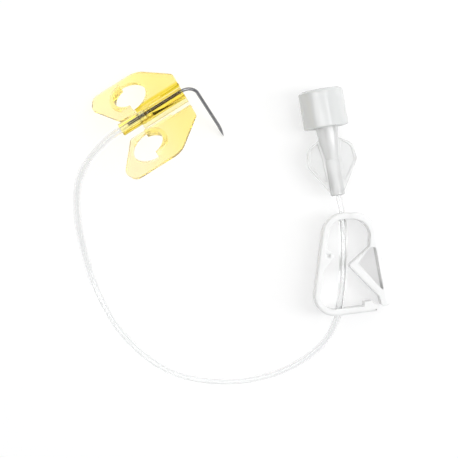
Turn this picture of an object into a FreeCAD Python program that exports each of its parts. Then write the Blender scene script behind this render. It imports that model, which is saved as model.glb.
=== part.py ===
import FreeCAD, Part

import math
import os
import Sketcher
from FreeCAD import Placement, Rotation, Vector

# Winged Huber needle set, lying on a table with its clear extension tube.
# The winged needle has a frame of its own: x along the hub towards the bent needle, y to the left wing,
# z away from the needle, and its origin on the cannula's axis at the cannula's rear end.
# The row frame has +Z up from the table, and its origin under the middle of the winged needle.

sizes = {
    # cannula, 20 gauge
    "cannula_diameter": 0.9,
    "cannula_bore": 0.6,
    "cannula_bend_radius": 3.6,
    "needle_x": 19.95,
    "needle_reach": 21.8,
    "tip_length": 4.6,
    "tip_curve_radius": 13.0,
    "bevel_angle": 3.0,
    # hub
    "hub_rear": 2.4,
    "hub_front": 16.8,
    "hub_underside": 2.2,
    "slab_half": 1.2,
    "slab_thickness": 1.2,
    "socket_radius": 1.45,
    "socket_underside": 1.9,
    "socket_corner": 0.8,
    "socket_front": 3.4,
    "neck_radius": 1.2,
    "neck_front": 7.1,
    "rod_radius": 1.05,
    "front_well_bore": 1.4,
    "front_well_depth": 0.8,
    "ring_height": 0.15,
    "ring_width": 0.45,
    "ring_start": 3.9,
    "ring_pitch": 1.35,
    "ring_count": 3,
    "tube_insertion": 5.4,
    "glue_well_bore": 1.4,
    "bond_gap": 0.02,
    # wings
    "web_thickness": 0.35,
    "web_rear": 3.2,
    "hinge_offset": 2.7,
    "hinge_gap": 0.04,
    "plate_thickness": 1.25,
    "plate_root": 4.2,
    "plate_root_front": 5.1,
    "plate_jog": 11.2,
    "wing_reach": 18.4,
    "tail_shoulder": 5.2,
    "tail_length": 6.9,
    "tail_width": 14.4,
    "tail_touch": 3.7,
    "tip_touch": 0.1,
    "tail_root": 1.5,
    "front_width": 9.3,
    "front_shoulder": 8.6,
    "hole_x": 2.9,
    "hole_offset": 10.5,
    "hole_radius": 5.6,
    "collar_centre": 0.9,
    "collar_inner_radius": 4.4,
    "collar_thickness": 1.1,
    "collar_height": 1.0,
    # how the winged needle lies
    "yaw_angle": 31.9,
    "pitch_angle": 2.2,
    "datum_x": -7.35,
    "datum_y": -0.1,
    # tube
    "tube_diameter": 2.1,
    "tube_bore": 1.0,
    # luer connector
    "luer_x": 48.65,
    "luer_y": -18.8,
    "luer_yaw": 99.6,
    "luer_barrel_radius": 1.95,
    "luer_barrel_length": 9.7,
    "luer_neck_radius": 1.75,
    "luer_shoulder_x": 14.4,
    "luer_shoulder_radius": 2.6,
    "luer_body_radius": 3.0,
    "luer_edge": 0.25,
    "luer_length": 26.9,
    "luer_socket_depth": 6.0,
    "luer_lumen": 1.2,
    "taper_mouth_diameter": 4.27,
    "taper_depth": 8.5,
    "taper_slope": 0.06,
    "lug_radius": 3.9,
    "lug_length": 1.4,
    "lug_width": 2.6,
    "grip_thickness": 0.9,
    "grip_rim_thickness": 1.5,
    "grip_rim_width": 0.75,
    "grip_start": 0.3,
    "grip_end": 15.6,
    "grip_root": 1.5,
    "grip_reach": 6.75,
    "grip_widest": 8.9,
    "grip_shoulder": 13.4,
    "grip_shoulder_width": 6.2,
    "grip_end_width": 2.4,
    # luer cap
    "cap_radius": 6.05,
    "cap_start": 18.55,
    "cap_length": 10.35,
    "cap_wall": 1.2,
    "cap_end_thickness": 1.1,
    "cap_end_radius": 5.0,
    "cap_dome": 0.35,
    "cap_edge": 0.25,
    "cap_end_chamfer": 0.6,
    "plug_chamfer": 0.4,
    "cap_sleeve_clearance": 0.2,
    "cap_sleeve_depth": 1.6,
    "plug_length": 6.6,
    "plug_clearance": 0.03,
    # pinch clamp
    "clamp_x": 49.55,
    "clamp_y": -23.75,
    "clamp_depth": 10.0,
    "clamp_wall": 1.8,
    "clamp_left": -4.6,
    "clamp_lean": 3.65,
    "clamp_top": 0.4,
    "clamp_bottom": -28.2,
    "latch_rise": 2.25,
    "latch_split": 1.1,
    "latch_tip": 9.35,
    "latch_wall": 1.7,
    "hook_start": 6.0,
    "hook_height": 1.2,
    "hook_length": 2.0,
    "clamp_corner": 5.4,
    "arch_left_radius": 6.2,
    "arch_inner_radius": 4.6,
    "arch_right_radius": 5.8,
    "arm_x": 8.35,
    "arm_slope": 0.1825,
    "arm_wall": 1.05,
    "arm_split_angle": 22.0,
    "arm_gap": 0.05,
    "tab_bottom": -24.5,
    "tab_inner": 10.7,
    "tab_corner": 0.9,
    "tooth_x": 1.75,
    "tooth_y": -13.8,
    "tooth_root_x": 7.4,
    "tooth_root_top": -8.7,
    "tooth_low_x": 10.0,
    "tooth_low_y": -22.1,
    "shoulder_top": -5.6,
    "triangle_x": 4.4,
    "triangle_y": -13.3,
    "triangle_shoulder_x": 6.9,
    "triangle_shoulder_y": -9.7,
    "triangle_top_x": 7.9,
    "triangle_top_y": -9.0,
    "triangle_bottom": -20.6,
    "anvil_tip_x": -2.1,
    "anvil_top": -9.1,
    "anvil_tip_top": -10.7,
    "anvil_tip_bottom": -11.8,
    "anvil_bottom": -16.6,
    "tube_hole_width": 3.4,
    "tube_hole_height": 3.9,
    "tube_hole_z": 5.2,
    "upper_hole_x": -0.15,
    "lower_hole_x": -1.2,
    "lower_hole_width": 4.4,
}

doc = FreeCAD.newDocument("huber_needle_set")
sheet = doc.addObject("Spreadsheet::Sheet", "Sizes")
for row, (alias, value) in enumerate(sizes.items(), start=1):
    sheet.set(f"A{row}", alias)
    sheet.set(f"B{row}", str(value))
    sheet.setAlias(f"B{row}", alias)
doc.recompute()


def mm(alias):
    return float(getattr(sheet, alias))


def new_body(label):
    body = doc.addObject("PartDesign::Body", label)
    body.Label = label
    return body


def plane_of(body, role):
    return next(f for f in body.Origin.OriginFeatures if f.Role == role)


def new_sketch(body, name, role, offset=None):
    sketch = body.newObject("Sketcher::SketchObject", name)
    sketch.AttachmentSupport = [(plane_of(body, role), "")]
    sketch.MapMode = "FlatFace"
    if offset is not None:
        sketch.setExpression("AttachmentOffset.Base.z", offset)
    return sketch


def pad(body, sketch, length, midplane=False):
    feature = body.newObject("PartDesign::Pad", sketch.Name + "_pad")
    feature.Profile = sketch
    feature.setExpression("Length", length)
    feature.Midplane = midplane
    sketch.Visibility = False
    doc.recompute()
    return feature


def pocket(body, sketch, length=None, midplane=False, reversed_side=False):
    feature = body.newObject("PartDesign::Pocket", sketch.Name + "_pocket")
    feature.Profile = sketch
    if length is None:
        feature.Type = "ThroughAll"
    else:
        feature.setExpression("Length", length)
    feature.Midplane = midplane
    feature.Reversed = reversed_side
    sketch.Visibility = False
    before = feature.BaseFeature.Shape.Volume
    doc.recompute()
    if not feature.Shape.Volume < before - 1e-6:
        raise RuntimeError(f"{feature.Name} cuts nothing")
    return feature


def turned(body, kind, sketch):
    feature = body.newObject(f"PartDesign::{kind}", sketch.Name + "_turned")
    feature.Profile = sketch
    feature.ReferenceAxis = (sketch, ["H_Axis"])
    feature.Angle = 360
    sketch.Visibility = False
    doc.recompute()
    return feature


def draw_outline(sketch, corners):
    """A closed outline of straight sides. A corner is (x, y) or (x, y, radius), and a radius rounds it."""
    count = len(corners)
    ends = []
    for i, corner in enumerate(corners):
        here = Vector(corner[0], corner[1], 0)
        radius = corner[2] if len(corner) > 2 else 0
        to_last = Vector(corners[i - 1][0], corners[i - 1][1], 0) - here
        to_next = Vector(corners[(i + 1) % count][0], corners[(i + 1) % count][1], 0) - here
        to_last.normalize()
        to_next.normalize()
        if radius:
            half = to_last.getAngle(to_next) / 2
            back = radius / math.tan(half)
            centre = here + (to_last + to_next).normalize() * (radius / math.sin(half))
            first, last = here + to_last * back, here + to_next * back
            middle = centre + (here - centre).normalize() * radius
            ends.append((first, last))
            sketch.addGeometry(Part.Arc(first, middle, last), False)
        else:
            ends.append((here, here))
    for i in range(count):
        start, end = ends[i][1], ends[(i + 1) % count][0]
        if (end - start).Length > 1e-6:
            sketch.addGeometry(Part.LineSegment(start, end), False)


def draw_arch(sketch, radius, bottom, corner=0.0):
    """A loaf-shaped section: a round top about the axis and straight sides down to a flat bottom."""
    top = Part.Arc(Vector(radius, 0, 0), Vector(0, radius, 0), Vector(-radius, 0, 0))
    sketch.addGeometry(top, False)
    path = [Vector(-radius, 0, 0), Vector(-radius, -bottom + corner, 0)]
    if corner:
        middle = Vector(-radius + corner * (1 - math.sqrt(0.5)), -bottom + corner * (1 - math.sqrt(0.5)), 0)
        low = Vector(-radius + corner, -bottom, 0)
        sketch.addGeometry(Part.Arc(path[1], middle, low), False)
        sketch.addGeometry(Part.LineSegment(low, Vector(-low.x, low.y, 0)), False)
        sketch.addGeometry(Part.Arc(Vector(-low.x, low.y, 0), Vector(-middle.x, middle.y, 0),
                                    Vector(radius, path[1].y, 0)), False)
    else:
        sketch.addGeometry(Part.LineSegment(path[1], Vector(radius, -bottom, 0)), False)
    sketch.addGeometry(Part.LineSegment(path[0], path[1]), False)
    sketch.addGeometry(Part.LineSegment(Vector(radius, path[1].y, 0), Vector(radius, 0, 0)), False)


def draw_circle(sketch, x, y, radius):
    sketch.addGeometry(Part.Circle(Vector(x, y, 0), Vector(0, 0, 1), radius), False)


def draw_rectangle(sketch, x0, y0, x1, y1):
    draw_outline(sketch, [(x0, y0), (x1, y0), (x1, y1), (x0, y1)])


# The winged needle rests on the needle's tip and on the tail of its left wing. Both touch the table at
# one roll of the hub, found from the needle's reach, the wing's reach and the pitch.
def tip_point():
    """The needle's point, on the outer wall of the curve at its tip, and the curve's angle there."""
    outer = mm("tip_curve_radius") + mm("cannula_diameter") / 2
    angle = mm("tip_length") / mm("tip_curve_radius")
    return mm("needle_x") - mm("tip_curve_radius") + outer * math.cos(angle), outer * math.sin(angle), angle


def lying_attitude():
    pitch = math.radians(mm("pitch_angle"))
    touch = mm("needle_reach") + mm("tip_touch")
    below = touch - mm("hub_underside")
    reach = mm("wing_reach")
    point_x = tip_point()[0]
    lead = point_x + mm("tail_touch")
    roll = math.atan2(below, reach) - math.asin(lead * math.tan(pitch) / math.hypot(below, reach))
    height = touch * math.cos(roll) * math.cos(pitch) - point_x * math.sin(pitch)
    turn = Rotation(mm("yaw_angle"), -mm("pitch_angle"), -math.degrees(roll))
    return Placement(Vector(mm("datum_x"), mm("datum_y"), height), turn)


winged_needle = lying_attitude()


def make_cannula():
    body = new_body("cannula")
    bend, reach, x = mm("cannula_bend_radius"), mm("needle_reach"), mm("needle_x")
    curve, tip = mm("tip_curve_radius"), mm("tip_length")
    point_x, curve_height, angle = tip_point()
    path = new_sketch(body, "cannula_path", "XZ_Plane")
    path.addGeometry(Part.LineSegment(Vector(0, 0, 0), Vector(x - bend, 0, 0)), False)
    knee = bend * math.sqrt(0.5)
    path.addGeometry(Part.Arc(Vector(x - bend, 0, 0), Vector(x - bend + knee, knee - bend, 0),
                              Vector(x, -bend, 0)), False)
    start = Vector(x, -reach + curve_height, 0)
    path.addGeometry(Part.LineSegment(Vector(x, -bend, 0), start), False)

    def on_curve(turn):
        return Vector(x - curve * (1 - math.cos(turn)), start.y - curve * math.sin(turn), 0)

    path.addGeometry(Part.Arc(start, on_curve(angle * 0.6), on_curve(angle * 1.2)), False)
    for name, kind, diameter in (("outside", "AdditivePipe", "cannula_diameter"),
                                 ("bore", "SubtractivePipe", "cannula_bore")):
        ring = new_sketch(body, "cannula_" + name, "YZ_Plane")
        draw_circle(ring, 0, 0, mm(diameter) / 2)
        sweep = body.newObject("PartDesign::" + kind, "cannula_" + name + "_sweep")
        sweep.Profile = ring
        sweep.Spine = (path, ["Edge1", "Edge2", "Edge3", "Edge4"])
        doc.recompute()
    # the ground face, which leaves the point on the outer wall of the curve
    bevel = new_sketch(body, "bevel", "XZ_Plane")
    point = Vector(point_x, -reach, 0)
    slope = math.tan(math.radians(mm("bevel_angle")))
    rise = 2 * tip
    draw_outline(bevel, [(point.x + tip * slope, point.y - tip), (point.x - rise * slope, point.y + rise),
                         (point.x - rise, point.y + rise), (point.x - rise, point.y - tip)])
    pocket(body, bevel, "4 * Sizes.cannula_diameter", midplane=True)
    return body


def make_hub():
    body = new_body("hub")
    slab = new_sketch(body, "slab", "YZ_Plane", "Sizes.web_rear")
    draw_rectangle(slab, -mm("slab_half"), -mm("hub_underside"),
                   mm("slab_half"), -mm("hub_underside") + mm("slab_thickness"))
    pad(body, slab, "Sizes.hub_front - Sizes.web_rear")
    web = new_sketch(body, "web", "YZ_Plane", "Sizes.web_rear")
    draw_rectangle(web, -mm("hinge_offset"), -mm("hub_underside"),
                   mm("hinge_offset"), -mm("hub_underside") + mm("web_thickness"))
    pad(body, web, "Sizes.hub_front - Sizes.web_rear")
    rod = new_sketch(body, "rod", "YZ_Plane", "Sizes.neck_front")
    draw_arch(rod, mm("rod_radius"), mm("hub_underside"))
    pad(body, rod, "Sizes.hub_front - Sizes.neck_front")
    neck = new_sketch(body, "neck", "YZ_Plane", "Sizes.socket_front")
    draw_arch(neck, mm("neck_radius"), mm("hub_underside"))
    pad(body, neck, "Sizes.neck_front - Sizes.socket_front")
    socket = new_sketch(body, "socket", "YZ_Plane", "-Sizes.hub_rear")
    draw_arch(socket, mm("socket_radius"), mm("socket_underside"), mm("socket_corner"))
    pad(body, socket, "Sizes.hub_rear + Sizes.socket_front")
    for i in range(int(mm("ring_count"))):
        ring = new_sketch(body, f"ring_{i + 1}", "YZ_Plane", f"Sizes.ring_start + {i} * Sizes.ring_pitch")
        draw_arch(ring, mm("neck_radius") + mm("ring_height"), mm("hub_underside"))
        pad(body, ring, "Sizes.ring_width")
    # stepped bore: tube socket from the rear, glue well, the cannula's hole, and a glue well at the front
    bore = new_sketch(body, "bore", "XZ_Plane")
    gap, rear, front = mm("bond_gap"), -mm("hub_rear") - 1, mm("hub_front") + 1
    front_well = mm("hub_front") - mm("front_well_depth")
    tube, well, steel = (mm("tube_diameter") / 2 + gap, mm("glue_well_bore") / 2,
                         mm("cannula_diameter") / 2 + gap)
    draw_outline(bore, [(rear, 0), (front, 0), (front, mm("front_well_bore") / 2),
                        (front_well, mm("front_well_bore") / 2), (front_well, steel),
                        (mm("neck_front"), steel),
                        (mm("neck_front"), well), (mm("tube_insertion"), well),
                        (mm("tube_insertion"), tube), (rear, tube)])
    turned(body, "Groove", bore)
    return body


def make_wing(label, side, collar_end):
    """side is 1 on the left and -1 on the right. collar_end is 1 where the collar is towards the needle."""
    body = new_body(label)
    underside = "-Sizes.hub_underside"
    plate = new_sketch(body, label + "_plate", "XY_Plane", underside)
    front, jog = mm("hub_front"), mm("plate_jog")
    draw_outline(plate, [
        (front, side * mm("plate_root_front"), 0.3),
        (front, side * mm("front_width"), 1.6),
        (mm("front_shoulder"), side * mm("wing_reach"), 5.5),
        (-mm("tail_shoulder"), side * mm("wing_reach"), 2.4),
        (-mm("tail_length"), side * mm("tail_width"), 2.2),
        (-mm("tail_root"), side * mm("plate_root"), 1.2),
        (jog, side * mm("plate_root")),
        (jog, side * mm("plate_root_front")),
    ])
    pad(body, plate, "Sizes.plate_thickness")
    web = new_sketch(body, label + "_web", "XY_Plane", underside)
    draw_rectangle(web, mm("web_rear"), side * (mm("hinge_offset") + mm("hinge_gap")),
                   front, side * mm("plate_root_front"))
    pad(body, web, "Sizes.web_thickness")
    # the collar stands on one side of the cut across the hole, and the hole is wider on the other side
    x, y = mm("hole_x"), side * mm("hole_offset")
    big, inner = mm("hole_radius"), mm("collar_inner_radius")
    outer = inner + mm("collar_thickness")
    shift = mm("collar_centre")
    centre = x - collar_end * shift
    inner_chord, outer_chord = math.sqrt(inner ** 2 - shift ** 2), math.sqrt(outer ** 2 - shift ** 2)
    hole = new_sketch(body, label + "_hole", "XY_Plane", underside)
    hole.addGeometry(Part.Arc(Vector(x, y + big, 0), Vector(x - collar_end * big, y, 0),
                              Vector(x, y - big, 0)), False)
    hole.addGeometry(Part.Arc(Vector(x, y + inner_chord, 0), Vector(centre + collar_end * inner, y, 0),
                              Vector(x, y - inner_chord, 0)), False)
    for end in (1, -1):
        hole.addGeometry(Part.LineSegment(Vector(x, y + end * inner_chord, 0),
                                          Vector(x, y + end * big, 0)), False)
    pocket(body, hole, "2 * Sizes.plate_thickness", midplane=True)
    collar = new_sketch(body, label + "_collar", "XY_Plane", underside)
    collar.addGeometry(Part.Arc(Vector(x, y + outer_chord, 0), Vector(centre + collar_end * outer, y, 0),
                                Vector(x, y - outer_chord, 0)), False)
    collar.addGeometry(Part.Arc(Vector(x, y + inner_chord, 0), Vector(centre + collar_end * inner, y, 0),
                                Vector(x, y - inner_chord, 0)), False)
    for end in (1, -1):
        collar.addGeometry(Part.LineSegment(Vector(x, y + end * inner_chord, 0),
                                            Vector(x, y + end * outer_chord, 0)), False)
    pad(body, collar, "Sizes.plate_thickness + Sizes.collar_height")
    return body


# The tube's route in the row frame, from the hub to the connector: the runs' corners, each rounded by
# as large an arc as its two runs allow.
tube_route = [
    (-13.7, -4.4, 14.3), (-20.2, -12.1, 12.5), (-21.8, -21.4, 9.0), (-20.0, -33.5, 5.0),
    (-15.9, -47.0, 2.2), (-8.0, -59.0, 1.2), (3.9, -67.7, 1.1), (19.6, -70.0, 1.1), (33.8, -66.9, 1.3),
    (44.6, -59.8, 2.6), (48.8, -51.8, 4.5), (50.0, -42.9, 5.1), (50.2, -34.8, 5.2), (50.0, -24.8, 5.6),
]


def make_tube(luer_place):
    hub_exit = winged_needle.multVec(Vector(-mm("hub_rear"), 0, 0))
    hub_end = winged_needle.multVec(Vector(mm("tube_insertion"), 0, 0))
    luer_exit = luer_place.multVec(Vector(0, 0, 0))
    luer_end = luer_place.multVec(Vector(mm("luer_socket_depth"), 0, 0))
    points = [hub_exit] + [Vector(*p) for p in tube_route] + [luer_exit]
    edges = []
    here = points[0]
    for last, corner, following in zip(points, points[1:], points[2:]):
        back, onward = last - corner, following - corner
        half = back.getAngle(onward) / 2
        reach = 0.45 * min(back.Length, onward.Length)
        radius = reach * math.tan(half)
        back.normalize()
        onward.normalize()
        first, end = corner + back * reach, corner + onward * reach
        centre = corner + (back + onward).normalize() * math.hypot(reach, radius)
        middle = centre + (corner - centre).normalize() * radius
        edges.append(Part.LineSegment(here, first).toShape())
        edges.append(Part.Arc(first, middle, end).toShape())
        print(f"tube arc radius {radius:.1f} mm")
        here = end
    edges.append(Part.LineSegment(here, points[-1]).toShape())
    path = Part.Wire(edges)
    outside, bore = mm("tube_diameter") / 2, mm("tube_bore") / 2

    def swept(radius):
        circle = Part.Circle(points[0], points[1] - points[0], radius)
        return path.makePipeShell([Part.Wire(circle.toShape())], True, True)

    def stub(start, end, radius):
        return Part.makeCylinder(radius, (end - start).Length, start, end - start)

    solid = swept(outside).fuse([stub(hub_end, hub_exit, outside), stub(luer_exit, luer_end, outside)])
    hollow = swept(bore).fuse([stub(hub_end, hub_exit, bore), stub(luer_exit, luer_end, bore)])
    shape = solid.cut(hollow).removeSplitter()
    length = path.Length + (hub_end - hub_exit).Length + (luer_end - luer_exit).Length
    section = math.pi * (outside ** 2 - bore ** 2)
    print(f"tube free length {path.Length:.1f} mm, whole {length:.1f} mm")
    print(f"tube volume {shape.Volume:.2f} mm3 against {section * length:.2f}")
    tube = doc.addObject("Part::Feature", "extension_tube")
    tube.Label = "extension_tube"
    tube.Shape = shape
    return tube


def make_luer():
    body = new_body("luer_connector")
    # the turned form: barrel with the tube socket, shoulder, and body with the female taper
    mouth, length = mm("taper_mouth_diameter") / 2, mm("luer_length")
    taper_end = length - mm("taper_depth")
    profile = new_sketch(body, "luer_profile", "XZ_Plane")
    draw_outline(profile, [
        (0, mm("tube_diameter") / 2 + mm("bond_gap")),
        (0, mm("luer_barrel_radius") - mm("luer_edge")),
        (mm("luer_edge"), mm("luer_barrel_radius")),
        (mm("luer_barrel_length"), mm("luer_barrel_radius")),
        (mm("luer_barrel_length"), mm("luer_neck_radius")),
        (mm("luer_shoulder_x"), mm("luer_shoulder_radius")),
        (mm("cap_start"), mm("luer_body_radius")),
        (length - mm("luer_edge"), mm("luer_body_radius")),
        (length, mm("luer_body_radius") - mm("luer_edge")),
        (length, mouth),
        (taper_end, mouth - mm("taper_depth") * mm("taper_slope") / 2),
        (taper_end, mm("luer_lumen") / 2),
        (mm("luer_socket_depth"), mm("luer_lumen") / 2),
        (mm("luer_socket_depth"), mm("tube_diameter") / 2 + mm("bond_gap")),
    ])
    turned(body, "Revolution", profile)
    # two lugs at the mouth, for a locking collar
    lugs = new_sketch(body, "lugs", "YZ_Plane", "Sizes.luer_length - Sizes.lug_length")
    inside = (mouth + mm("luer_body_radius")) / 2
    half = mm("lug_width") / 2
    for side in (1, -1):
        draw_outline(lugs, [(side * inside, -half), (side * mm("lug_radius"), -half, 0.6),
                            (side * mm("lug_radius"), half, 0.6), (side * inside, half)])
    pad(body, lugs, "Sizes.lug_length")
    for side in (1, -1):
        start, root = mm("grip_start"), mm("luer_neck_radius") * 0.8
        outline = [(start, side * root), (start, side * mm("grip_root"), 0.4),
                   (mm("grip_widest"), side * mm("grip_reach"), 2.2),
                   (mm("grip_shoulder"), side * mm("grip_shoulder_width"), 2.6),
                   (mm("grip_end"), side * mm("grip_end_width")), (mm("grip_end"), side * root)]
        hand = "left" if side == 1 else "right"
        rim = new_sketch(body, f"{hand}_grip", "XY_Plane")
        draw_outline(rim, outline)
        pad(body, rim, "Sizes.grip_rim_thickness", midplane=True)
        # the thinner panel inside the rim, pressed in from both faces
        inset = [(x, y) for x, y in inset_corners([c[:2] for c in outline], mm("grip_rim_width"))]
        inset = [(x, side * max(side * y, mm("luer_body_radius"))) if i in (0, 5) else (x, y)
                 for i, (x, y) in enumerate(inset)]
        for face, offset in (("top", "Sizes.grip_thickness / 2"), ("bottom", "-Sizes.grip_thickness / 2")):
            panel = new_sketch(body, f"{hand}_{face}_panel", "XY_Plane", offset)
            draw_outline(panel, [(inset[1][0] + 2.2, inset[1][1] + side * 1.1, 0.3),
                                 (inset[2][0], inset[2][1], 1.6), (inset[3][0], inset[3][1], 2.0),
                                 (inset[4][0] - 0.2, side * 3.2, 0.3), (11.0, side * 2.6, 0.5)])
            pocket(body, panel, "Sizes.grip_rim_thickness", reversed_side=(face == "top"))
    return body


def inset_corners(corners, distance):
    """The corners of an outline moved inwards by a distance, found where its moved sides meet."""
    area = sum(a[0] * b[1] - b[0] * a[1] for a, b in zip(corners, corners[1:] + corners[:1])) / 2
    turn = 1 if area > 0 else -1
    moved = []
    for i, here in enumerate(corners):
        last, following = corners[i - 1], corners[(i + 1) % len(corners)]
        into = Vector(here[0] - last[0], here[1] - last[1], 0).normalize()
        out = Vector(following[0] - here[0], following[1] - here[1], 0).normalize()
        normal_in, normal_out = Vector(-into.y, into.x, 0) * turn, Vector(-out.y, out.x, 0) * turn
        mitre = (normal_in + normal_out).normalize()
        step = mitre * (distance / max(mitre.dot(normal_in), 0.2))
        moved.append((here[0] + step.x, here[1] + step.y))
    return moved


def make_cap():
    body = new_body("luer_cap")
    start, end = mm("cap_start"), mm("cap_start") + mm("cap_length")
    floor = end - mm("cap_end_thickness")
    sleeve = mm("lug_radius") + mm("cap_sleeve_clearance")
    mouth = mm("taper_mouth_diameter") / 2 - mm("plug_clearance")
    plug_end = floor - mm("plug_length")
    slope = mm("taper_slope") / 2
    edge, bevel = mm("cap_edge"), mm("plug_chamfer")
    profile = new_sketch(body, "cap_profile", "XZ_Plane")
    draw_outline(profile, [
        (start, mm("cap_radius") - mm("cap_wall")),
        (start, mm("cap_radius") - edge),
        (start + edge, mm("cap_radius")),
        (end - mm("cap_end_chamfer"), mm("cap_radius")),
        (end, mm("cap_end_radius")),
        (end + mm("cap_dome"), 0),
        (plug_end, 0),
        (plug_end, mouth - slope * (mm("luer_length") - plug_end) - bevel),
        (plug_end + bevel, mouth - slope * (mm("luer_length") - plug_end - bevel)),
        (floor, mouth - slope * (mm("luer_length") - floor)),
        (floor, sleeve),
        (start + mm("cap_sleeve_depth"), sleeve),
        (start + mm("cap_sleeve_depth"), mm("cap_radius") - mm("cap_wall")),
    ])
    turned(body, "Revolution", profile)
    return body


# The clamp stands on its side, z up from the table. Its outside line runs from the latch wall round the
# lower corner, up the leaning left wall and over the arch to the arm.
def clamp_line():
    left, top = mm("clamp_left"), mm("clamp_top")
    lean = mm("clamp_lean") / (top - mm("clamp_bottom"))
    low_left = (left - mm("clamp_lean"), mm("clamp_bottom"))
    reach = mm("latch_tip") - low_left[0]
    latch_slope = mm("latch_rise") / reach
    return {"lean": lean, "low_left": low_left, "top_left": (left, top), "top_right": (mm("arm_x"), top),
            "latch_slope": latch_slope}


def arm_line(y, inset=0.0):
    return mm("arm_x") + (mm("clamp_top") - y) * mm("arm_slope") - inset * math.hypot(1, mm("arm_slope"))


def bottom_line(line, x):
    return line["low_left"][1] + (x - line["low_left"][0]) * line["latch_slope"]


def inside_of(corners, wall):
    """A strip's inside corners: its outside corners (x, y, radius), going clockwise, moved in by a wall."""
    inside = []
    for i, (x, y, radius) in enumerate(corners):
        normals = []
        for a, b in ((i - 1, i), (i, i + 1)):
            if a >= 0 and b < len(corners):
                run = Vector(corners[b][0] - corners[a][0], corners[b][1] - corners[a][1], 0).normalize()
                normals.append(Vector(run.y, -run.x, 0))
        mitre = sum(normals[1:], normals[0]).normalize()
        step = mitre * (wall / mitre.dot(normals[0]))
        inside.append((x + step.x, y + step.y, max(radius - wall, 0)))
    return inside


def split_ray(line, shift):
    """The cut across the arch where the arm swings: its inner end is the hinge, and shift moves it along."""
    turn = math.pi / 2 - math.atan(mm("arm_slope"))
    radius, wall = mm("arch_inner_radius"), mm("clamp_wall")
    centre = Vector(arm_line(mm("clamp_top") - wall, wall) - radius * math.tan(turn / 2),
                    mm("clamp_top") - wall - radius, 0)
    angle = math.radians(mm("arm_split_angle"))
    ray = Vector(math.cos(angle), math.sin(angle), 0)
    hinge = centre + ray * radius
    across = Vector(ray.y, -ray.x, 0) * shift
    return hinge + across, ray, across


def cut_side(body, name, line, shift, keep_frame):
    """Removes what lies past the split, on the arm's side for the frame and on the frame's for the arm."""
    hinge, ray, _ = split_ray(line, shift)
    down = Vector(ray.y, -ray.x, 0) * (1 if keep_frame else -1)
    reach, inner = 40, 8
    corners = [hinge - ray * inner, hinge + ray * reach, hinge + ray * reach + down * reach,
               hinge - ray * inner + down * reach]
    sketch = new_sketch(body, name, "XY_Plane")
    draw_outline(sketch, [(c.x, c.y) for c in corners])
    pocket(body, sketch, "4 * Sizes.clamp_depth", midplane=True)


def tube_slot(body, name, x, width):
    sketch = new_sketch(body, name, "XZ_Plane")
    half_w, half_h = width / 2, mm("tube_hole_height") / 2
    z = mm("tube_hole_z")
    r = min(half_w, half_h) * 0.98
    draw_outline(sketch, [(x - half_w, z - half_h, r), (x + half_w, z - half_h, r),
                          (x + half_w, z + half_h, r), (x - half_w, z + half_h, r)])
    return sketch


def make_clamp_frame():
    body = new_body("clamp_frame")
    line = clamp_line()
    split = mm("latch_split")
    strip = new_sketch(body, "frame_strip", "XY_Plane")
    outside = [(split, bottom_line(line, split), 0), (*line["low_left"], mm("clamp_corner")),
               (*line["top_left"], mm("arch_left_radius")), (*line["top_right"], mm("arch_right_radius")),
               (arm_line(-mm("arch_right_radius")), -mm("arch_right_radius"), 0)]
    inside = inside_of(outside, mm("clamp_wall"))
    inside[3] = (*inside[3][:2], mm("arch_inner_radius"))
    draw_outline(strip, outside + inside[::-1])
    pad(body, strip, "Sizes.clamp_depth")
    cut_side(body, "frame_split", line, 0, True)

    def wall_x(y):
        return mm("clamp_left") - line["lean"] * (mm("clamp_top") - y)

    anvil = new_sketch(body, "anvil", "XY_Plane")
    bury = mm("clamp_wall") / 2
    draw_outline(anvil, [
        (wall_x(mm("anvil_top")) + bury, mm("anvil_top")),
        (mm("anvil_tip_x"), mm("anvil_tip_top"), 0.4),
        (mm("anvil_tip_x"), mm("anvil_tip_bottom"), 0.4),
        (wall_x(mm("anvil_bottom")) + bury, mm("anvil_bottom")),
    ])
    pad(body, anvil, "Sizes.clamp_depth")
    upper = tube_slot(body, "upper_tube_slot", mm("upper_hole_x"), mm("tube_hole_width"))
    pocket(body, upper, "8 * Sizes.clamp_wall", midplane=True)
    lower = tube_slot(body, "lower_tube_slot", mm("lower_hole_x"), mm("lower_hole_width"))
    lower.setExpression("AttachmentOffset.Base.z", "-Sizes.clamp_bottom")
    pocket(body, lower, "8 * Sizes.clamp_wall", midplane=True)
    return body


def make_clamp_latch():
    body = new_body("clamp_latch")
    line = clamp_line()
    wall, split, tip = mm("latch_wall"), mm("latch_split"), mm("latch_tip")
    hook, rise, run = mm("hook_start"), mm("hook_height"), mm("hook_length")
    lean = math.atan(line["latch_slope"])  # its end face is square to the wall, as the frame's is

    def low(x):
        return bottom_line(line, x)

    strip = new_sketch(body, "latch_strip", "XY_Plane")
    draw_outline(strip, [
        (split, low(split)), (tip, low(tip), 0.3), (tip, low(tip) + wall, 0.3),
        (hook + run, low(hook + run) + wall + rise, 0.4), (hook, low(hook) + wall + rise, 0.2),
        (hook, low(hook) + wall, 0.2),
        (split - mm("clamp_wall") * math.sin(lean), low(split) + mm("clamp_wall") * math.cos(lean)),
    ])
    pad(body, strip, "Sizes.clamp_depth")
    return body


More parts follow.
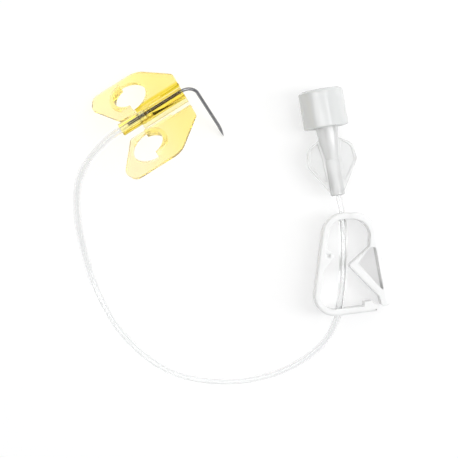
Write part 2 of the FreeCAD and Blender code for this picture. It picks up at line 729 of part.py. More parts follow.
def make_clamp_arm():
    body = new_body("clamp_arm")
    line = clamp_line()
    radius, wall, low = mm("arch_right_radius"), mm("clamp_wall"), mm("tab_bottom")
    arch = [(line["top_right"][0] - radius, line["top_right"][1], 0), (*line["top_right"], radius),
            (arm_line(low), low, mm("tab_corner"))]
    arch_start, arch_corner, _ = inside_of(arch, wall)
    arch_corner = (*arch_corner[:2], mm("arch_inner_radius"))
    outline = new_sketch(body, "arm_outline", "XY_Plane")
    draw_outline(outline, arch + [
        (mm("tab_inner"), low, 0.4), (mm("tooth_low_x"), mm("tooth_low_y"), 0.5),
        (mm("tooth_x"), mm("tooth_y"), 0.7), (mm("tooth_root_x"), mm("tooth_root_top"), 0.6),
        (arm_line(mm("shoulder_top"), wall), mm("shoulder_top")), arch_corner, arch_start,
    ])
    pad(body, outline, "Sizes.clamp_depth")
    # the open triangle behind the tooth
    top, bottom = mm("triangle_top_y"), mm("triangle_bottom")
    triangle = new_sketch(body, "triangle", "XY_Plane")
    draw_outline(triangle, [
        (mm("triangle_x"), mm("triangle_y"), 0.3), (mm("triangle_shoulder_x"), mm("triangle_shoulder_y"), 0.4),
        (mm("triangle_top_x"), top, 0.4), (arm_line(top, mm("arm_wall")), top, 0.3),
        (arm_line(bottom, mm("arm_wall")), bottom, 0.2),
    ])
    pocket(body, triangle, "4 * Sizes.clamp_depth", midplane=True)
    cut_side(body, "arm_split", line, mm("arm_gap"), False)
    return body


luer_place = Placement(Vector(mm("luer_x"), mm("luer_y"), mm("cap_radius")), Rotation(mm("luer_yaw"), 0, 0))
clamp_place = Placement(Vector(mm("clamp_x"), mm("clamp_y"), 0), Rotation())

pieces = {
    "cannula": (make_cannula, winged_needle),
    "hub": (make_hub, winged_needle),
    "left_wing": (lambda: make_wing("left_wing", 1, -1), winged_needle),
    "right_wing": (lambda: make_wing("right_wing", -1, 1), winged_needle),
    "extension_tube": (lambda: make_tube(luer_place), Placement()),
    "luer_connector": (make_luer, luer_place),
    "luer_cap": (make_cap, luer_place),
    "clamp_frame": (make_clamp_frame, clamp_place),
    "clamp_latch": (make_clamp_latch, clamp_place),
    "clamp_arm": (make_clamp_arm, clamp_place),
}

made = {}
for label, (make, place) in pieces.items():
    piece = make()
    piece.Placement = place
    made[label] = piece
    print(f"made {label}")
doc.recompute()

for obj in doc.Objects:
    if "Invalid" in obj.State or "Error" in obj.State:
        raise RuntimeError(f"{obj.Name} failed: {obj.State}")
for label, piece in made.items():
    if piece.Shape.isNull() or not piece.Shape.isValid():
        raise RuntimeError(f"{label} has no valid shape")

os.makedirs("parts", exist_ok=True)
for label, piece in made.items():
    piece.Shape.exportStep(f"parts/{label}.step")
    box = piece.Shape.BoundBox
    print(f"{label}: {len(piece.Shape.Solids)} solid, {piece.Shape.Volume:.1f} mm3, "
          f"x {box.XMin:.2f}..{box.XMax:.2f}, y {box.YMin:.2f}..{box.YMax:.2f}, z {box.ZMin:.2f}..{box.ZMax:.2f}")
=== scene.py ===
from math import cos, radians, sin

import bmesh
import bpy
from mathutils import Matrix, Vector
from mathutils.geometry import convex_hull_2d, intersect_point_line


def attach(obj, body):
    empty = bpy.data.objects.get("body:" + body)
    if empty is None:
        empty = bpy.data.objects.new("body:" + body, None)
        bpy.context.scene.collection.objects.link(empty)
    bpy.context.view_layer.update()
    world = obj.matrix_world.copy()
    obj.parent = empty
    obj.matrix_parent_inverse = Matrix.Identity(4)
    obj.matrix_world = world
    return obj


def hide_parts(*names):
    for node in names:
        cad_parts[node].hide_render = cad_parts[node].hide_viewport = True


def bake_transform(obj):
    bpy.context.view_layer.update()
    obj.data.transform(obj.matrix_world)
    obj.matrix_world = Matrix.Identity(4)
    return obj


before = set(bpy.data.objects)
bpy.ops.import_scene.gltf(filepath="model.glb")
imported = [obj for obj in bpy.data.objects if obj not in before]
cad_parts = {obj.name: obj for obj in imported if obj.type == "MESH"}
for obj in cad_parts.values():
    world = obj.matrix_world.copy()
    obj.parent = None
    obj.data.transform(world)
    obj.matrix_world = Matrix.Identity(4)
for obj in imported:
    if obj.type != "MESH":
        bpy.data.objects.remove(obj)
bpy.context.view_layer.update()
mm = 0.001
scene = bpy.context.scene
print("frame loaded")


def turned(degrees, axis):
    return Matrix.Rotation(radians(degrees), 4, axis)


# where the moulded pieces lie: hub x runs to the bent needle, luer x to the cap, the clamp stands on its side
hubPlace = Matrix.Translation(Vector((-7.35, -0.1, 14.7085)) * mm) @ turned(31.9, "Z") @ turned(-2.2, "Y") \
    @ turned(-45.054, "X")
luerPlace = Matrix.Translation(Vector((48.65, -18.8, 6.05)) * mm) @ turned(99.6, "Z")
clampPlace = Matrix.Translation(Vector((49.55, -23.75, 0)) * mm)


def onHub(x, y, z):
    return hubPlace @ (Vector((x, y, z)) * mm)


def onLuer(x, y, z):
    return luerPlace @ (Vector((x, y, z)) * mm)


def onClamp(x, y, z):
    return clampPlace @ (Vector((x, y, z)) * mm)


# view and light
view = {
    "over": (19.35, -27.8),
    "height": 550,
    "across": 124.576,
    "sensor": 36,
    "clipFrom": 0.01,
    "clipTo": 20,
}

camera = bpy.data.objects.new("camera", bpy.data.cameras.new("camera"))
scene.collection.objects.link(camera)
camera.location = Vector((*view["over"], view["height"])) * mm
camera.data.sensor_width = view["sensor"]
camera.data.lens = view["sensor"] * view["height"] / view["across"]
camera.data.clip_start = view["clipFrom"]
camera.data.clip_end = view["clipTo"]
scene.camera = camera
scene.view_settings.view_transform = "Standard"

studio = {
    "horizon": {"at": 0.02, "colour": (0.52, 0.525, 0.53)},
    "sky": {"at": 0.95, "colour": (0.28, 0.285, 0.29)},
    "lamps": {
        "stripLight": {"at": (0.72, -0.03, 0.79), "size": (0.28, 0.9), "watts": 4.2},
        "softLight": {"at": (0.30, 0.60, 0.85), "size": (0.9, 0.9), "watts": 3.0},
        "topLight": {"at": (0.07, -0.05, 0.90), "size": (0.56, 0.9), "watts": 1.6},
        "thinLight": {"at": (-0.34, -0.05, 0.80), "size": (0.12, 0.8), "watts": 0.6},
    },
    "floorReach": 3,
    "floorColour": (0.90, 0.90, 0.90),
    "floorShown": (0.42, 0.42, 0.42),
    "floorLift": 0.60,
}


def addLamp(name, values):
    lamp = bpy.data.lights.new(name, "AREA")
    lamp.shape = "RECTANGLE"
    lamp.size, lamp.size_y = values["size"]
    lamp.energy = values["watts"]
    holder = bpy.data.objects.new(name, lamp)
    scene.collection.objects.link(holder)
    holder.location = values["at"]
    aim = Vector((*view["over"], 0)) * mm - holder.location
    holder.rotation_mode = "QUATERNION"
    holder.rotation_quaternion = aim.to_track_quat("-Z", "Y")


for lampName, lampValues in studio["lamps"].items():
    addLamp(lampName, lampValues)


def link(tree, source, target):
    tree.links.new(source, target)


def addNode(tree, kind, **settings):
    node = tree.nodes.new(kind)
    for name, value in settings.items():
        if name in node.inputs:
            node.inputs[name].default_value = value
        else:
            setattr(node, name, value)
    return node


def mathNode(tree, operation, first, second=None):
    node = tree.nodes.new("ShaderNodeMath")
    node.operation = operation
    for socket, value in zip(node.inputs, (first, second)):
        if value is None:
            continue
        if isinstance(value, (int, float)):
            socket.default_value = value
        else:
            link(tree, value, socket)
    return node.outputs[0]


# lamps see the ramp, the camera and what is clear see plain white
def buildWorld():
    world = bpy.data.worlds.new("studio")
    scene.world = world
    world.use_nodes = True
    tree = world.node_tree
    tree.nodes.clear()
    out = addNode(tree, "ShaderNodeOutputWorld")
    place = addNode(tree, "ShaderNodeTexCoord")
    split = addNode(tree, "ShaderNodeSeparateXYZ")
    link(tree, place.outputs["Generated"], split.inputs[0])
    ramp = addNode(tree, "ShaderNodeValToRGB")
    for element, part in zip(ramp.color_ramp.elements, ("horizon", "sky")):
        element.position = studio[part]["at"]
        element.color = (*studio[part]["colour"], 1)
    link(tree, split.outputs["Z"], ramp.inputs[0])
    lit = addNode(tree, "ShaderNodeBackground")
    link(tree, ramp.outputs[0], lit.inputs["Color"])
    shown = addNode(tree, "ShaderNodeBackground", Color=(1, 1, 1, 1))
    path = addNode(tree, "ShaderNodeLightPath")
    mix = addNode(tree, "ShaderNodeMixShader")
    shownTo = mathNode(tree, "MAXIMUM", path.outputs["Is Camera Ray"], path.outputs["Is Transmission Ray"])
    link(tree, shownTo, mix.inputs[0])
    link(tree, lit.outputs[0], mix.inputs[1])
    link(tree, shown.outputs[0], mix.inputs[2])
    link(tree, mix.outputs[0], out.inputs["Surface"])


buildWorld()


# white paper that lights the part as it is, and is seen lifted so that only its shadows show
def buildFloor():
    bm = bmesh.new()
    bmesh.ops.create_grid(bm, x_segments=1, y_segments=1, size=studio["floorReach"])
    mesh = bpy.data.meshes.new("floor")
    bm.to_mesh(mesh)
    bm.free()
    floor = bpy.data.objects.new("floor", mesh)
    scene.collection.objects.link(floor)
    material = bpy.data.materials.new("whiteFloor")
    material.use_nodes = True
    tree = material.node_tree
    tree.nodes.clear()
    out = addNode(tree, "ShaderNodeOutputMaterial")
    paper = addNode(tree, "ShaderNodeBsdfDiffuse", Color=(*studio["floorColour"], 1))
    shadeOnly = addNode(tree, "ShaderNodeBsdfDiffuse", Color=(*studio["floorShown"], 1))
    lift = addNode(tree, "ShaderNodeEmission", Color=(1, 1, 1, 1), Strength=studio["floorLift"])
    lifted = addNode(tree, "ShaderNodeAddShader")
    link(tree, shadeOnly.outputs[0], lifted.inputs[0])
    link(tree, lift.outputs[0], lifted.inputs[1])
    path = addNode(tree, "ShaderNodeLightPath")
    seen = mathNode(tree, "MAXIMUM", path.outputs["Is Camera Ray"], path.outputs["Is Glossy Ray"])
    seen = mathNode(tree, "MAXIMUM", seen, path.outputs["Is Transmission Ray"])
    mix = addNode(tree, "ShaderNodeMixShader")
    link(tree, seen, mix.inputs[0])
    link(tree, paper.outputs[0], mix.inputs[1])
    link(tree, lifted.outputs[0], mix.inputs[2])
    link(tree, mix.outputs[0], out.inputs["Surface"])
    mesh.materials.append(material)


buildFloor()
print("camera, lamps and floor made")


# shared effects, as node groups
def newGroup(name, kind, inputs, outputs):
    group = bpy.data.node_groups.new(name, "ShaderNodeTree")
    for label in inputs:
        group.interface.new_socket(name=label, in_out="INPUT", socket_type=kind)
    for label in outputs:
        group.interface.new_socket(name=label, in_out="OUTPUT", socket_type=kind)
    return group, group.nodes.new("NodeGroupInput"), group.nodes.new("NodeGroupOutput")


skinNoise = {
    "grainDetail": 2.0,
    "flowDetail": 3.0,
    "grainHeight": 0.35,
}
skinInputs = {"Grain Size": "grainSize", "Flow Size": "flowSize", "Roughness": "roughness",
              "Roughness Spread": "roughnessSpread"}


def buildMouldedSkin():
    group, given, made = newGroup("mouldedSkin", "NodeSocketFloat", skinInputs, ("Roughness", "Height"))
    place = addNode(group, "ShaderNodeTexCoord")
    grain = addNode(group, "ShaderNodeTexNoise", Detail=skinNoise["grainDetail"])
    flow = addNode(group, "ShaderNodeTexNoise", Detail=skinNoise["flowDetail"])
    for noise, size in ((grain, "Grain Size"), (flow, "Flow Size")):
        link(group, place.outputs["Object"], noise.inputs["Vector"])
        link(group, given.outputs[size], noise.inputs["Scale"])
    centred = mathNode(group, "SUBTRACT", flow.outputs[0], 0.5)
    spread = mathNode(group, "MULTIPLY", centred, given.outputs["Roughness Spread"])
    link(group, mathNode(group, "ADD", given.outputs["Roughness"], spread), made.inputs["Roughness"])
    fine = mathNode(group, "MULTIPLY", grain.outputs[0], skinNoise["grainHeight"])
    link(group, mathNode(group, "ADD", flow.outputs[0], fine), made.inputs["Height"])
    return group


mouldedSkin = buildMouldedSkin()


def onHubAxes(tree):
    place = addNode(tree, "ShaderNodeTexCoord")
    axes = addNode(tree, "ShaderNodeMapping", vector_type="TEXTURE")
    axes.inputs["Location"].default_value = hubPlace.to_translation()
    axes.inputs["Rotation"].default_value = hubPlace.to_euler()
    link(tree, place.outputs["Object"], axes.inputs["Vector"])
    split = addNode(tree, "ShaderNodeSeparateXYZ")
    link(tree, axes.outputs[0], split.inputs[0])
    return split


# the hub's yellow along the needle, and painted light across the folds (painted shade at the left fold, a
# painted highlight on the right web), in mm from the hub's rear end and middle line
tintAndPaintedLightPlaces = {
    "tailEnd": -4,
    "needleEnd": 14,
    "foldsFrom": 3.4,
    "foldShadeBand": (4.1, 4.4, 5.2, 5.8),
    "webBand": (-4.9, -4.5, -2.9, -2.7),
}
tintAndPaintedLightInputs = {"Tail Colour": "tail", "Needle Colour": "needle", "Fold Shade Colour": "foldShade", "Web And Highlight Colour": "web"}


def spanNode(tree, value, near, far):
    span = addNode(tree, "ShaderNodeMapRange")
    span.inputs["From Min"].default_value = near * mm
    span.inputs["From Max"].default_value = far * mm
    link(tree, value, span.inputs["Value"])
    return span


def mixColours(tree, share, first, second):
    mix = addNode(tree, "ShaderNodeMix", data_type="RGBA")
    link(tree, share, mix.inputs["Factor"])
    for label, colour in (("A", first), ("B", second)):
        if isinstance(colour, tuple):
            mix.inputs[label].default_value = (*colour, 1)
        else:
            link(tree, colour, mix.inputs[label])
    return mix.outputs["Result"]


def buildHubTintAndPaintedLight():
    group, given, made = newGroup("hubTintAndPaintedLight", "NodeSocketColor", tintAndPaintedLightInputs, ("Colour",))
    split = onHubAxes(group)
    along = spanNode(group, split.outputs["X"], tintAndPaintedLightPlaces["tailEnd"], tintAndPaintedLightPlaces["needleEnd"])
    along.interpolation_type = "SMOOTHSTEP"
    colour = mixColours(group, along.outputs[0], given.outputs["Tail Colour"], given.outputs["Needle Colour"])
    front = mathNode(group, "GREATER_THAN", split.outputs["X"], tintAndPaintedLightPlaces["foldsFrom"] * mm)
    # painted shade: a deep dark yellow along the left fold; the near-white band on the right web is partly
    # the thin web's own paleness and partly a painted highlight
    for label, places in (("Fold Shade Colour", "foldShadeBand"), ("Web And Highlight Colour", "webBand")):
        risesAt, risenAt, fallsAt, fallenAt = tintAndPaintedLightPlaces[places]
        rise = spanNode(group, split.outputs["Y"], risesAt, risenAt)
        fall = spanNode(group, split.outputs["Y"], fallenAt, fallsAt)
        band = mathNode(group, "MULTIPLY", rise.outputs[0], fall.outputs[0])
        colour = mixColours(group, mathNode(group, "MULTIPLY", band, front), colour, given.outputs[label])
    link(group, colour, made.inputs["Colour"])
    return group


hubTintAndPaintedLight = buildHubTintAndPaintedLight()


def newMaterial(name):
    material = bpy.data.materials.new(name)
    material.use_nodes = True
    tree = material.node_tree
    tree.nodes.clear()
    out = addNode(tree, "ShaderNodeOutputMaterial")
    return material, tree, out


def addSkin(tree, shader, values):
    skin = tree.nodes.new("ShaderNodeGroup")
    skin.node_tree = mouldedSkin
    for label, key in skinInputs.items():
        skin.inputs[label].default_value = values[key]
    link(tree, skin.outputs["Roughness"], shader.inputs["Roughness"])
    bump = addNode(tree, "ShaderNodeBump", Strength=values["bump"], Distance=values["bumpDepth"])
    link(tree, skin.outputs["Height"], bump.inputs["Height"])
    link(tree, bump.outputs[0], shader.inputs["Normal"])


def letLampsThrough(tree, shader, out, colour):
    path = addNode(tree, "ShaderNodeLightPath")
    clear = addNode(tree, "ShaderNodeBsdfTransparent", Color=(*colour, 1))
    mix = addNode(tree, "ShaderNodeMixShader")
    link(tree, path.outputs["Is Shadow Ray"], mix.inputs[0])
    link(tree, shader.outputs[0], mix.inputs[1])
    link(tree, clear.outputs[0], mix.inputs[2])
    link(tree, mix.outputs[0], out.inputs["Surface"])


def clearPlastic(name, values):
    material, tree, out = newMaterial(name)
    shader = addNode(tree, "ShaderNodeBsdfPrincipled", IOR=values["ior"])
    shader.inputs["Transmission Weight"].default_value = values["transmission"]
    if "tail" in values:
        tint = tree.nodes.new("ShaderNodeGroup")
        tint.node_tree = hubTintAndPaintedLight
        for label, key in tintAndPaintedLightInputs.items():
            tint.inputs[label].default_value = (*values[key], 1)
        link(tree, tint.outputs["Colour"], shader.inputs["Base Color"])
    else:
        shader.inputs["Base Color"].default_value = (*values["colour"], 1)
    addSkin(tree, shader, values)
    letLampsThrough(tree, shader, out, values["shadow"])
    if "dye" in values:
        dye = addNode(tree, "ShaderNodeVolumeAbsorption", Density=values["dyeDensity"])
        dye.inputs["Color"].default_value = (*values["dye"], 1)
        link(tree, dye.outputs[0], out.inputs["Volume"])
    return material


def solidPlastic(name, values):
    material, tree, out = newMaterial(name)
    shader = addNode(tree, "ShaderNodeBsdfPrincipled", IOR=values["ior"])
    shader.inputs["Base Color"].default_value = (*values["colour"], 1)
    shader.inputs["Subsurface Weight"].default_value = values["glow"]
    shader.inputs["Subsurface Radius"].default_value = (1, 1, 1)
    shader.inputs["Subsurface Scale"].default_value = values["glowDepth"]
    shader.inputs["Transmission Weight"].default_value = values["transmission"]
    shader.inputs["Specular IOR Level"].default_value = values["gloss"]
    addSkin(tree, shader, values)
    link(tree, shader.outputs[0], out.inputs["Surface"])
    return material


# in these colours the fold colour is painted shade, and the web colour is partly the thin web's own paleness
# and partly a painted highlight
hubClear = {
    "tail": (1.0, 0.99, 0.92), "needle": (1.0, 0.96, 0.70), "foldShade": (1.0, 0.96, 0.70),
    "web": (1.0, 0.97, 0.80), "ior": 1.42, "transmission": 1.0,
    "roughness": 0.04, "roughnessSpread": 0.03, "grainSize": 2600, "flowSize": 260,
    "bump": 0.12, "bumpDepth": 0.02 * mm, "shadow": (1.0, 0.99, 0.95),
    "dye": (0.99, 0.89, 0.02), "dyeDensity": 620,
}
wingClear = {
    "tail": (1.0, 0.935, 0.96), "needle": (1.0, 0.90, 0.56), "foldShade": (0.78, 0.63, 0.04),
    "web": (1.0, 0.995, 0.99), "ior": 1.2, "transmission": 0.9,
    "roughness": 0.06, "roughnessSpread": 0.04, "grainSize": 2600, "flowSize": 260,
    "bump": 0.12, "bumpDepth": 0.02 * mm, "shadow": (1.0, 0.99, 0.95),
    "dye": (0.99, 0.90, 0.02), "dyeDensity": 350,
}
tubeClear = {
    "colour": (0.91, 0.915, 0.915), "ior": 1.42, "transmission": 1.0,
    "roughness": 0.05, "roughnessSpread": 0.03, "grainSize": 1800, "flowSize": 180,
    "bump": 0.02, "bumpDepth": 0.01 * mm, "shadow": (0.96, 0.96, 0.96),
}
luerFrosted = {
    "colour": (0.955, 0.96, 0.955), "ior": 1.46, "glow": 0.4, "glowDepth": 1.5 * mm, "transmission": 0.45,
    "roughness": 0.14, "roughnessSpread": 0.06, "grainSize": 2200, "flowSize": 240,
    "bump": 0.1, "bumpDepth": 0.02 * mm, "gloss": 0.9,
}
capFrosted = {
    "colour": (0.915, 0.93, 0.92), "ior": 1.5, "glow": 0.4, "glowDepth": 2.5 * mm, "transmission": 0.2,
    "roughness": 0.09, "roughnessSpread": 0.04, "grainSize": 2200, "flowSize": 200,
    "bump": 0.08, "bumpDepth": 0.02 * mm, "gloss": 1.0,
}
clampWhite = {
    "colour": (0.92, 0.92, 0.915), "ior": 1.48, "glow": 0.4, "glowDepth": 1.2 * mm, "transmission": 0.0,
    "roughness": 0.25, "roughnessSpread": 0.12, "grainSize": 2600, "flowSize": 260,
    "bump": 0.15, "bumpDepth": 0.02 * mm, "gloss": 0.5,
}
# the steel's own grey, with near black-brown painted shade on the part inside the hub
steelBright = {
    "colour": (0.27, 0.27, 0.28), "paintedShadeInHub": (0.03, 0.012, 0.002), "paintedShadeInHubTo": 16.0, "bareFrom": 16.6,
    "roughness": 0.2, "roughnessSpread": 0.15, "grainSize": 9000,
    "flowSize": 700, "bump": 0.15, "bumpDepth": 0.01 * mm,
}


def steel(name, values):
    material, tree, out = newMaterial(name)
    shader = addNode(tree, "ShaderNodeBsdfPrincipled", Metallic=1.0)
    split = onHubAxes(tree)
    # painted shade: the steel turns near black-brown inside the hub and fades to its own grey where it leaves
    bare = spanNode(tree, split.outputs["X"], values["paintedShadeInHubTo"], values["bareFrom"])
    colour = mixColours(tree, bare.outputs[0], values["paintedShadeInHub"], values["colour"])
    link(tree, colour, shader.inputs["Base Color"])
    addSkin(tree, shader, values)
    link(tree, shader.outputs[0], out.inputs["Surface"])
    return material


hubPlastic = clearPlastic("hubClear", hubClear)
wingPlastic = clearPlastic("wingClear", wingClear)
tubePlastic = clearPlastic("tubeClear", tubeClear)
luerPlastic = solidPlastic("luerFrosted", luerFrosted)
capPlastic = solidPlastic("capFrosted", capFrosted)
clampPlastic = solidPlastic("clampWhite", clampWhite)
needleSteel = steel("needleSteel", steelBright)
print("materials made")


# the tube: one smooth line from inside the hub to inside the connector
tube = {
    "diameter": 2.1,
    "bore": 1.0,
    "sides": 28,
    "startInHub": 5.4,
    "exit": -2.4,
    "endInLuer": 6.0,
    "order": 3,
    "stepsPerKnot": 36,
    "route": [
        (-13.7, -4.4, 14.3), (-20.2, -12.1, 12.5), (-21.8, -21.4, 9.0), (-20.0, -33.5, 5.0),
        (-15.9, -47.0, 2.2), (-8.0, -59.0, 1.2), (3.9, -67.7, 1.1), (19.6, -70.0, 1.1), (33.8, -66.9, 1.3),
        (44.6, -59.8, 2.6), (48.8, -51.8, 4.5), (50.0, -42.9, 5.1), (50.2, -34.8, 5.2), (50.0, -24.8, 5.6),
    ],
}


def tubeLine():
    points = [onHub(tube["startInHub"], 0, 0), onHub(tube["exit"], 0, 0)]
    points += [Vector(p) * mm for p in tube["route"]]
    points += [onLuer(0, 0, 0), onLuer(tube["endInLuer"], 0, 0)]
    curve = bpy.data.curves.new("tubeLine", "CURVE")
    curve.dimensions = "3D"
    spline = curve.splines.new("NURBS")
    spline.points.add(len(points) - 1)
    for knot, place in zip(spline.points, points):
        knot.co = (*place, 1)
    spline.order_u = tube["order"]
    spline.use_endpoint_u = True
    spline.resolution_u = tube["stepsPerKnot"]
    bare = bpy.data.objects.new("tubeLine", curve)
    mesh = bpy.data.meshes.new_from_object(bare)
    line = [v.co.copy() for v in mesh.vertices]
    bpy.data.meshes.remove(mesh)
    bpy.data.objects.remove(bare)
    return line


sharpFrom = 35  # degrees


def finishPiece(name, bm, material, evenNormals=False):
    mesh = bpy.data.meshes.new(name)
    bm.to_mesh(mesh)
    bm.free()
    mesh.materials.clear()
    mesh.materials.append(material)
    for face in mesh.polygons:
        face.material_index = 0
        face.use_smooth = True
    mesh.set_sharp_from_angle(angle=radians(sharpFrom))
    piece = bpy.data.objects.new(name, mesh)
    scene.collection.objects.link(piece)
    if evenNormals:
        even = piece.modifiers.new("evenNormals", "WEIGHTED_NORMAL")
        even.keep_sharp = True
    return piece


def buildTube():
    line = tubeLine()
    bm = bmesh.new()
    ring = bmesh.ops.create_circle(bm, segments=tube["sides"], radius=tube["diameter"] / 2 * mm)["verts"]
    heading = line[1] - line[0]
    turn = heading.to_track_quat("Z", "X")
    bmesh.ops.rotate(bm, verts=ring, matrix=turn.to_matrix(), cent=(0, 0, 0))
    bmesh.ops.translate(bm, verts=ring, vec=line[0])
    edges = bm.edges[:]
    for i in range(1, len(line)):
        made = bmesh.ops.extrude_edge_only(bm, edges=edges)["geom"]
        ring = [g for g in made if isinstance(g, bmesh.types.BMVert)]
        edges = [g for g in made if isinstance(g, bmesh.types.BMEdge) and all(v in ring for v in g.verts)]
        following = line[i + 1] - line[i - 1] if i + 1 < len(line) else line[i] - line[i - 1]
        swing = heading.rotation_difference(following)
        bmesh.ops.rotate(bm, verts=ring, matrix=swing.to_matrix(), cent=line[i - 1])
        centre = sum((v.co for v in ring), Vector()) / len(ring)
        bmesh.ops.translate(bm, verts=ring, vec=line[i] - centre)
        heading = following
    bmesh.ops.recalc_face_normals(bm, faces=bm.faces)
    piece = finishPiece("extensionTube", bm, tubePlastic)
    wall = piece.modifiers.new("wall", "SOLIDIFY")
    wall.thickness = (tube["diameter"] - tube["bore"]) / 2 * mm
    wall.offset = -1
    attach(piece, "needle_hub")
    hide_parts("extension_tube")
    return piece, line


extensionTube, tubePath = buildTube()
tubeLength = sum((b - a).length for a, b in zip(tubePath, tubePath[1:]))
print(f"tube made, {tubeLength / mm:.1f} mm long")


# moulded pieces: copies of the CAD nodes with their edges rounded
mending = {
    "joined": 0.002,
    "joinedAfterRounding": 0.003,
    "welded": 0.004,
    "cutNear": 1e-7,
    "flatTo": 0.4,
    "roundFrom": 32,
}


def joinAndFlatten(bm, distance):
    bmesh.ops.remove_doubles(bm, verts=bm.verts, dist=distance * mm)
    bmesh.ops.holes_fill(bm, edges=[e for e in bm.edges if e.is_boundary], sides=0)
    bmesh.ops.dissolve_limit(bm, angle_limit=radians(mending["flatTo"]), verts=bm.verts, edges=bm.edges)


def copyOf(node):
    bm = bmesh.new()
    bm.from_mesh(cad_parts[node].data)
    joinAndFlatten(bm, mending["joined"])
    return bm


def roundEdges(bm, width, segments, keep=None):
    edges = [e for e in bm.edges if len(e.link_faces) == 2 and (keep is None or keep(e))
             and e.calc_face_angle(0) > radians(mending["roundFrom"])]
    bmesh.ops.bevel(bm, geom=edges, offset=width * mm, offset_type="OFFSET", segments=segments,
                    profile=0.5, affect="EDGES", material=-1, clamp_overlap=False)
    bmesh.ops.remove_doubles(bm, verts=bm.verts, dist=mending["joinedAfterRounding"] * mm)


def cutAcross(bm, faces, point, normal):
    geometry = set(faces)
    for face in faces:
        geometry.update(face.edges)
        geometry.update(face.verts)
    return bmesh.ops.bisect_plane(bm, geom=list(geometry), dist=mending["cutNear"], plane_co=point,
                                  plane_no=normal)["geom_cut"]


def dress(node, name, body, material, rounding=None):
    bm = copyOf(node)
    if rounding:
        roundEdges(bm, rounding["edge"], rounding["edgeSteps"])
    piece = finishPiece(name, bm, material, evenNormals=True)
    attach(piece, body)
    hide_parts(node)
    return piece


luerRounding = {"edge": 0.12, "edgeSteps": 2}
capRounding = {"edge": 0.2, "edgeSteps": 3}
dress("cannula", "cannulaSteel", "needle_hub", needleSteel)
luer = dress("luer_connector", "luerMoulding", "needle_hub", luerPlastic, luerRounding)
cap = dress("luer_cap", "luerCapMoulding", "cap", capPlastic, capRounding)

hub = {
    "steelHole": 0.47,
    "heldHole": 0.452,
    "holeWithin": 0.004,
    "edge": 0.1,
    "edgeSteps": 2,
}
wings = {
    "edge": 0.4,
    "edgeSteps": 4,
    "holeAt": (2.9, 10.5),
    "holeReach": 6.1,
    "holeEdge": 0.14,
    "holeEdgeSteps": 2,
    "webEndTo": 2.75,
    "webJoined": 2.702,
    "bendStart": 2.7,
    "bendEnd": 3.9,
    "bendSteps": 6,
}
toHub = hubPlace.inverted()


def buildHub():
    bm = copyOf("hub")
    # the steel sits in the plastic with hardly any air round it
    for vert in bm.verts:
        local = toHub @ vert.co
        out = Vector((0, local.y, local.z))
        if abs(out.length - hub["steelHole"] * mm) < hub["holeWithin"] * mm:
            vert.co = hubPlace @ (Vector((local.x, 0, 0)) + out.normalized() * hub["heldHole"] * mm)
    roundEdges(bm, hub["edge"], hub["edgeSteps"])
    piece = finishPiece("hubMoulding", bm, hubPlastic, evenNormals=True)
    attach(piece, "needle_hub")
    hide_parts("hub")


def buildWing(node, name, side):
    bm = copyOf(node)
    across = (hubPlace.to_3x3() @ Vector((0, side, 0))).normalized()

    def out(vert):
        return (toHub @ vert.co).y * side / mm

    def fromHole(vert):
        local = toHub @ vert.co / mm
        return (Vector((local.x, local.y * side)) - Vector(wings["holeAt"])).length

    roundEdges(bm, wings["edge"], wings["edgeSteps"],
               keep=lambda e: all(out(v) > wings["bendEnd"] for v in e.verts)
               and any(fromHole(v) > wings["holeReach"] for v in e.verts))
    roundEdges(bm, wings["holeEdge"], wings["holeEdgeSteps"],
               keep=lambda e: all(fromHole(v) < wings["holeReach"] for v in e.verts))
    for vert in bm.verts:
        if out(vert) < wings["webEndTo"]:
            vert.co -= across * (out(vert) - wings["webJoined"]) * mm
    bendReach = wings["bendEnd"] - wings["bendStart"]
    for i in range(wings["bendSteps"]):
        y = wings["bendStart"] + bendReach * (i + 0.5) / wings["bendSteps"]
        cutAcross(bm, bm.faces, onHub(0, side * y, 0), across)
    bmesh.ops.connect_verts_concave(bm, faces=bm.faces)
    piece = finishPiece(name, bm, wingPlastic, evenNormals=True)
    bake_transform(piece)
    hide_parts(node)


buildHub()
buildWing("left_wing", "leftWingPlate", 1)
buildWing("right_wing", "rightWingPlate", -1)
print("needle and wings dressed")


# the clamp is one moulding: its solids are welded, rounded, and parted again at the top of the arch
clamp = {
    "hinge": (7.277, -4.277),
    "hingeAngle": 22,
    "seamOutside": (1.1, -27.005),
    "seamInside": (0.872, -25.219),
    "seamReach": (-0.01, 2),
    "seamWithin": 0.005,
    "notchWithin": 0.01,
    "splitReach": (-0.1, 2.2),
    "splitGap": (-0.01, 0.06),
    "rims": (0.0, 10.0),
    "rimWithin": 0.05,
    "partAt": 2.4,
    "archBelow": -2.6,
    "bridgeAt": -17.25,
    "outerEdge": 0.7,
    "innerEdge": 0.2,
    "edgeSteps": 4,
    "flexBefore": 2.4,
    "flexAfter": 1.2,
    "mark": {"at": (-3.65, -11.3), "face": 10, "faceWithin": 0.01, "square": 1.1, "lip": 0.05,
             "sidePieces": 6, "radius": 0.8, "slope": 0.4, "depth": 0.5},
}


def atRim(part):
    heights = {round(v.co.z / mm, 2) for v in part.verts}
    return len(heights) == 1 and heights <= set(clamp["rims"])


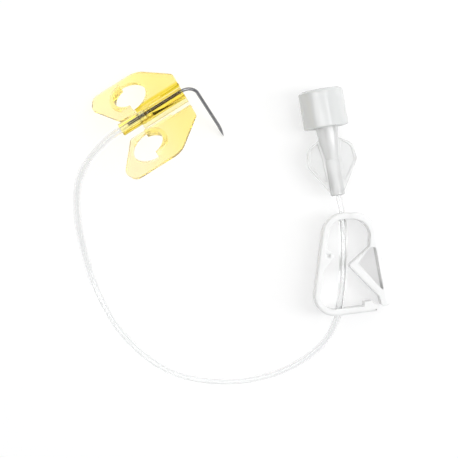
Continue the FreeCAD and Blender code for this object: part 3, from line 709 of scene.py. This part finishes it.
def buildClamp():
    hinge = onClamp(*clamp["hinge"], 0)
    angle = radians(clamp["hingeAngle"])
    ray, across = Vector((cos(angle), sin(angle), 0)), Vector((sin(angle), -cos(angle), 0))
    outer, inner = onClamp(*clamp["seamOutside"], 0), onClamp(*clamp["seamInside"], 0)
    seamLine = (inner - outer).normalized()
    seamNormal = Vector((seamLine.y, -seamLine.x, 0))

    def between(value, limits):
        return limits[0] * mm < value < limits[1] * mm

    def onSeam(vert):
        off = vert.co - outer
        beside = abs(off.dot(seamNormal)) < clamp["seamWithin"] * mm
        return beside and between(off.dot(seamLine), clamp["seamReach"])

    def onArchSplit(vert):
        off = vert.co - hinge
        return between(off.dot(across), clamp["splitGap"]) and between(off.dot(ray), clamp["splitReach"])

    bm = bmesh.new()
    bm.from_mesh(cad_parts["clamp_frame"].data)
    notch = {round(v.co.z / mm, 3) for v in bm.verts
             if (Vector((*v.co.xy, 0)) - inner).length < clamp["notchWithin"] * mm}
    bm.from_mesh(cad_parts["clamp_arm"].data)
    others = set(bm.faces)
    bm.from_mesh(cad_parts["clamp_latch"].data)
    for height in notch - set(clamp["rims"]):
        latch = [f for f in bm.faces if f not in others]
        cutAcross(bm, latch, (0, 0, height * mm), (0, 0, 1))
    ends = [f for f in bm.faces if all(onSeam(v) for v in f.verts) or all(onArchSplit(v) for v in f.verts)]
    bmesh.ops.delete(bm, geom=ends, context="FACES")
    for vert in bm.verts:
        if onArchSplit(vert):
            vert.co -= across * (vert.co - hinge).dot(across)
    joinAndFlatten(bm, mending["welded"])
    # one straight cut across the arm's window takes the place of the long slanting ones
    cut = cutAcross(bm, [f for f in bm.faces if atRim(f)], onClamp(0, clamp["bridgeAt"], 0), (0, 1, 0))
    slanting = [e for e in bm.edges if e not in cut and all(atRim(f) for f in e.link_faces)]
    bmesh.ops.dissolve_edges(bm, edges=slanting, use_verts=True)
    print("clamp welded, open edges:", sum(len(e.link_faces) != 2 for e in bm.edges))
    flat = [v.co.xy for v in bm.verts]
    rim = [flat[i] for i in convex_hull_2d(flat)]

    def isOuter(edge):
        middle = (edge.verts[0].co + edge.verts[1].co).xy / 2
        for a, b in zip(rim, rim[1:] + rim[:1]):
            near, share = intersect_point_line(middle, a, b)
            if 0 <= share <= 1 and (near - middle).length < clamp["rimWithin"] * mm:
                return True
        return False

    roundEdges(bm, clamp["outerEdge"], clamp["edgeSteps"], keep=isOuter)
    roundEdges(bm, clamp["innerEdge"], clamp["edgeSteps"], keep=atRim)
    return bm, hinge, across


def sinkMark(bm):
    # a square is cut out of the top face round the mark, made round and pushed in
    mark = clamp["mark"]
    centre = onClamp(*mark["at"], mark["face"])

    def topFaces():
        return [f for f in bm.faces
                if all(abs(v.co.z - centre.z) < mark["faceWithin"] * mm for v in f.verts)]

    for along in (Vector((1, 0, 0)), Vector((0, 1, 0))):
        for way in (-1, 1):
            cutAcross(bm, topFaces(), centre + along * way * mark["radius"] * mark["square"] * mm, along)
    spot = min(topFaces(), key=lambda f: (f.calc_center_bounds() - centre).length)
    bmesh.ops.inset_region(bm, faces=[spot], thickness=mark["lip"] * mm)
    for edge in spot.edges[:]:
        for left in range(mark["sidePieces"] - 1, 0, -1):
            edge = bmesh.utils.edge_split(edge, edge.verts[0], 1 / (left + 1))[0]
    for vert in spot.verts:
        vert.co = centre + (vert.co - centre).normalized() * mark["radius"] * mm
    bmesh.ops.inset_region(bm, faces=[spot], thickness=mark["slope"] * mark["radius"] * mm,
                           depth=-mark["depth"] * mm)


def partClamp():
    bm, hinge, across = buildClamp()
    sinkMark(bm)
    partAt = onClamp(clamp["partAt"], clamp["archBelow"], 0)
    cut = cutAcross(bm, bm.faces, partAt, (1, 0, 0))
    bmesh.ops.split_edges(bm, edges=[g for g in cut if isinstance(g, bmesh.types.BMEdge)
                                     and all(v.co.y > partAt.y for v in g.verts)])
    bmesh.ops.holes_fill(bm, edges=[e for e in bm.edges if e.is_boundary], sides=0)
    bm.verts.index_update()
    # the arm is all that hangs together with the end of its tab
    waiting = [max(bm.verts, key=lambda v: v.co.x)]
    armVerts = {waiting[0].index}
    while waiting:
        for edge in waiting.pop().link_edges:
            for vert in edge.verts:
                if vert.index not in armVerts:
                    armVerts.add(vert.index)
                    waiting.append(vert)
    parts = []
    for keep in (False, True):
        part = bm.copy()
        part.verts.index_update()
        bmesh.ops.delete(part, geom=[v for v in part.verts if (v.index in armVerts) != keep], context="VERTS")
        parts.append(part)
    bm.free()
    return (*parts, hinge, across)


framePart, armPart, hingeAt, swing = partClamp()
clampFrame = finishPiece("clampFrameMoulding", framePart, clampPlastic, evenNormals=True)
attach(clampFrame, "clamp")
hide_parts("clamp_frame", "clamp_latch")
clampArm = finishPiece("clampArmMoulding", armPart, clampPlastic, evenNormals=True)
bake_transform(clampArm)
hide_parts("clamp_arm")
print("clamp dressed")
